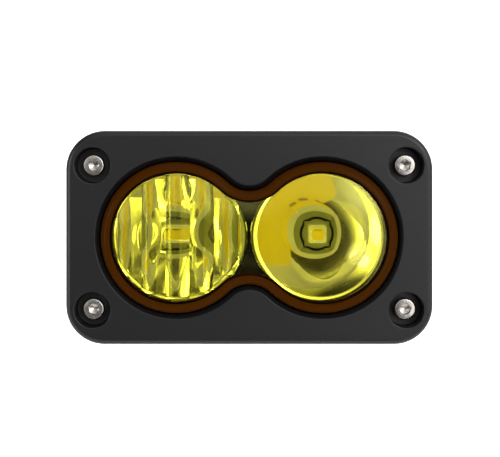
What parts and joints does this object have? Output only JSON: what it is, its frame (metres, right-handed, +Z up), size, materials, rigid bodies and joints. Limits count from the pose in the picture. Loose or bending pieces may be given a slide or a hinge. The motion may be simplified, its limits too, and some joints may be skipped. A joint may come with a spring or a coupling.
{
  "type": "fog light",
  "caption": "Flush-mount amber fog light: rectangular bolted frame, figure-of-eight lens, a fluted and a spot reflector cell, and a finned body behind.",
  "frame": {"origin": "middle of the plane where the panel gasket's rear face meets the vehicle panel", "axes": "+Y is the way into the vehicle, away from the beam, which leaves along -Y. +Z is up. +X is to the right of someone who looks at the lens"},
  "size_m": [0.092, 0.0537, 0.0536],
  "materials": {
    "black_metal": "black powder coat over die-cast aluminium",
    "black_plastic": "black moulded nylon",
    "rubber": "black rubber",
    "silicone": "red-brown silicone rubber",
    "amber_plastic": "polished amber polycarbonate",
    "clear_plastic": "polished clear plastic",
    "mirror": "vacuum-metallised plastic",
    "stainless_steel": "turned stainless steel",
    "nylon": "natural nylon",
    "board_white": "white solder mask on an aluminium-core board",
    "board_green": "green solder mask on glass-fibre board",
    "pad_grey": "grey heat-transfer sheet",
    "ceramic": "white ceramic",
    "phosphor": "yellow phosphor",
    "chip_black": "black moulded epoxy and ferrite",
    "can_metal": "drawn aluminium"
  },
  "bodies": {
    "root": {"board_link": "chip_black", "corner_screw_1": "stainless_steel", "corner_screw_2": "stainless_steel", "corner_screw_3": "stainless_steel", "corner_screw_4": "stainless_steel", "driver_board": "board_green", "driver_chip": "chip_black", "driver_screw_1": "stainless_steel", "driver_screw_2": "stainless_steel", "fluted_optic": "clear_plastic", "front_bezel": "black_metal", "gland_body": "black_metal", "gland_nut": "black_plastic", "gland_oring": "rubber", "gland_seal": "rubber", "housing": "black_metal", "inductor": "chip_black", "input_capacitor": "can_metal", "led_base_left": "ceramic", "led_base_right": "ceramic", "led_board": "board_white", "led_board_screw_1": "stainless_steel", "led_board_screw_2": "stainless_steel", "led_board_screw_3": "stainless_steel", "led_board_screw_4": "stainless_steel", "led_die_left": "phosphor", "led_die_right": "phosphor", "led_dome_left": "clear_plastic", "led_dome_right": "clear_plastic", "lens": "amber_plastic", "lens_seal": "silicone", "lock_nut_1": "stainless_steel", "lock_nut_2": "stainless_steel", "lock_nut_3": "stainless_steel", "lock_nut_4": "stainless_steel", "nut_ring_1": "nylon", "nut_ring_2": "nylon", "nut_ring_3": "nylon", "nut_ring_4": "nylon", "optic_carrier": "black_plastic", "output_capacitor": "can_metal", "panel_gasket": "rubber", "reflector_left": "mirror", "reflector_right": "mirror", "surge_diode": "chip_black", "thermal_pad": "pad_grey", "vent_body": "black_plastic", "vent_cap": "black_plastic", "vent_membrane": "nylon", "vent_oring": "rubber", "washer_1": "stainless_steel", "washer_2": "stainless_steel", "washer_3": "stainless_steel", "washer_4": "stainless_steel"}
  },
  "joints": []
}
